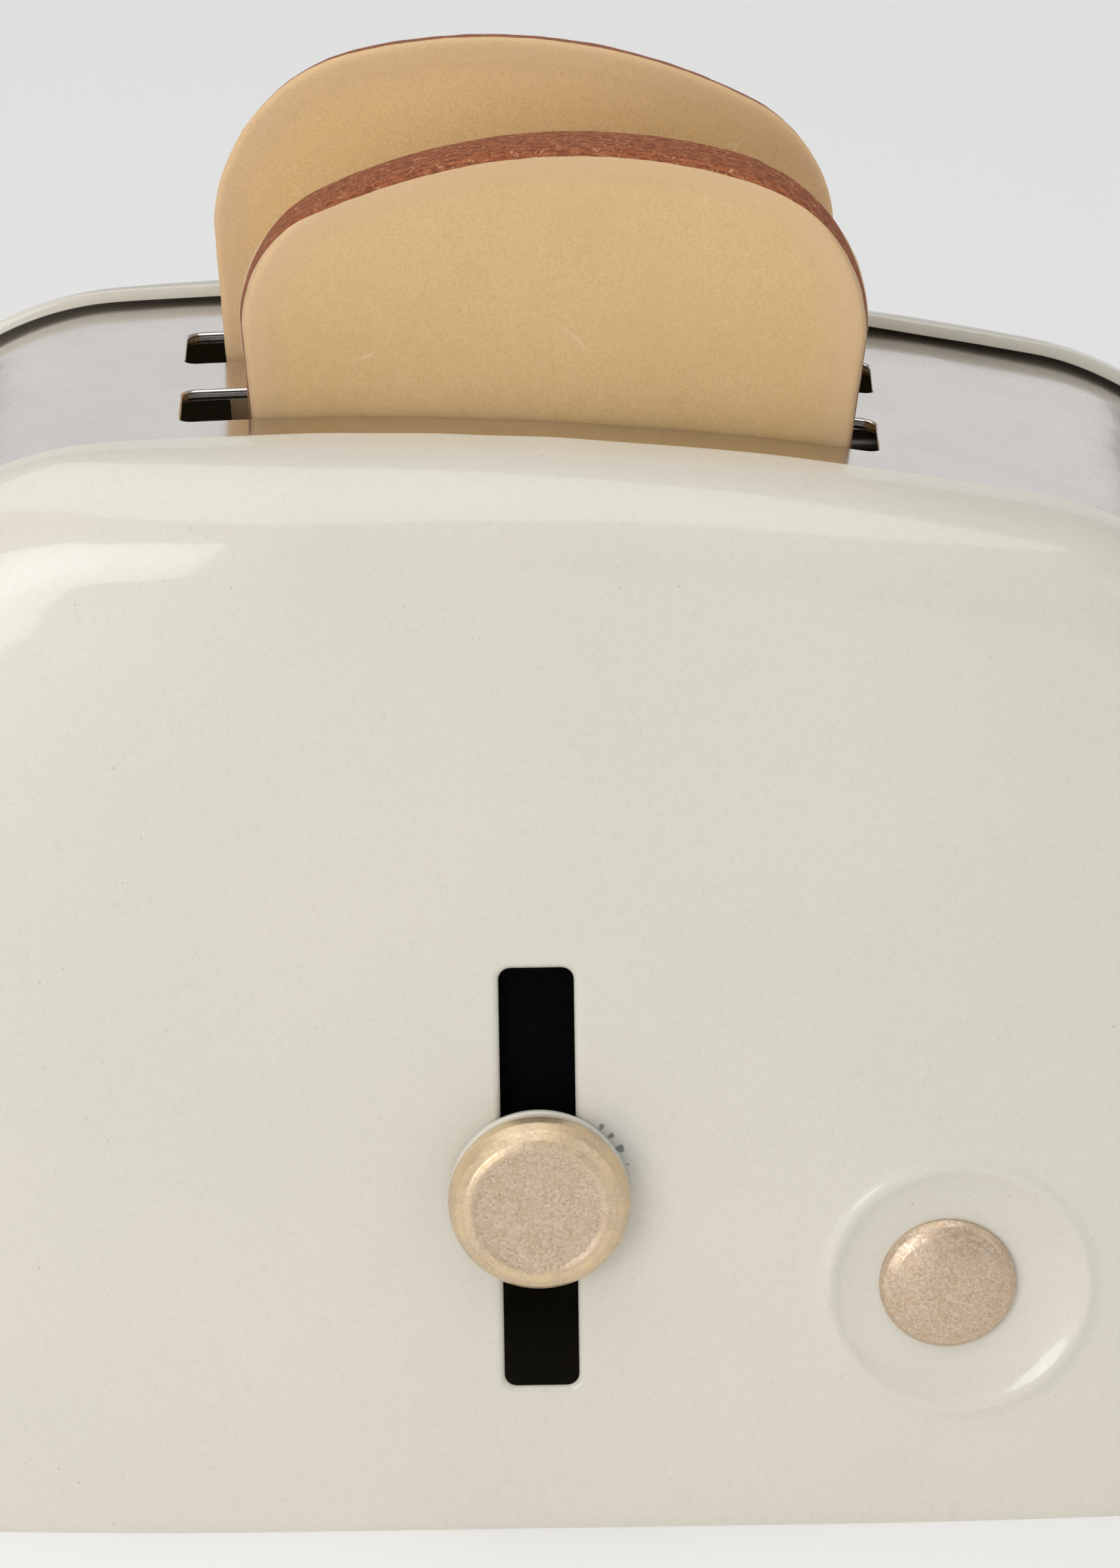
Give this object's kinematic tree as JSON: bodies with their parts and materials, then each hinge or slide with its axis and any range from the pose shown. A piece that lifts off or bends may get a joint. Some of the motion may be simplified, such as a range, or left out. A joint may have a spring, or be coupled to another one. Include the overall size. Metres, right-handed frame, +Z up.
{
  "type": "toy toaster",
  "caption": "Doll's-house toaster of enamelled sheet metal with slots along the top, a sliding lever, a domed stud and lift-out bread slices.",
  "frame": {"origin": "middle of the base plate's underside, on the surface that the toaster stands on", "axes": "+Z up, +X to the right seen from the front, -Y towards the front with the lever"},
  "size_m": [0.0596, 0.0321, 0.0574],
  "materials": {
    "cream_enamel": "gloss",
    "taupe_paint": "fine metallic, semi-gloss",
    "champagne_paint": "metallic sparkle, semi-gloss",
    "black_steel": "blackened",
    "zinc_steel": "zinc plated",
    "black_fibre": "matt",
    "toast": "matt cast resin with brushed brown crust"
  },
  "bodies": {
    "housing": {"front_shell": "cream_enamel", "back_shell": "cream_enamel", "top_band": "taupe_paint", "base_plate": "cream_enamel", "base_screws": "zinc_steel", "guide_frame": "zinc_steel", "lock_washers": "zinc_steel", "button_stud": "champagne_paint", "stud_clip": "zinc_steel"},
    "lift": {"lift_carriage": "black_steel", "bread_rack": "black_steel", "rack_rivets": "zinc_steel", "lever_knob": "champagne_paint", "knob_disc": "cream_enamel", "slot_bush": "black_steel", "friction_disc": "black_fibre", "spring_disc": "zinc_steel", "lever_screw": "zinc_steel"},
    "front_slice": {"front_slice": "toast"},
    "back_slice": {"back_slice": "toast"}
  },
  "joints": [
    {"name": "lever_slide", "type": "slide", "parent": "housing", "child": "lift", "axis": [0, 0, 1], "range_m": [-0.0067, 0.0076]},
    {"name": "front_slice_lift", "type": "slide", "parent": "lift", "child": "front_slice", "axis": [0, 0, 1], "range_m": [0, 0.016]},
    {"name": "back_slice_lift", "type": "slide", "parent": "lift", "child": "back_slice", "axis": [0, 0.0958, 0.9954], "range_m": [0, 0.016]}
  ]
}
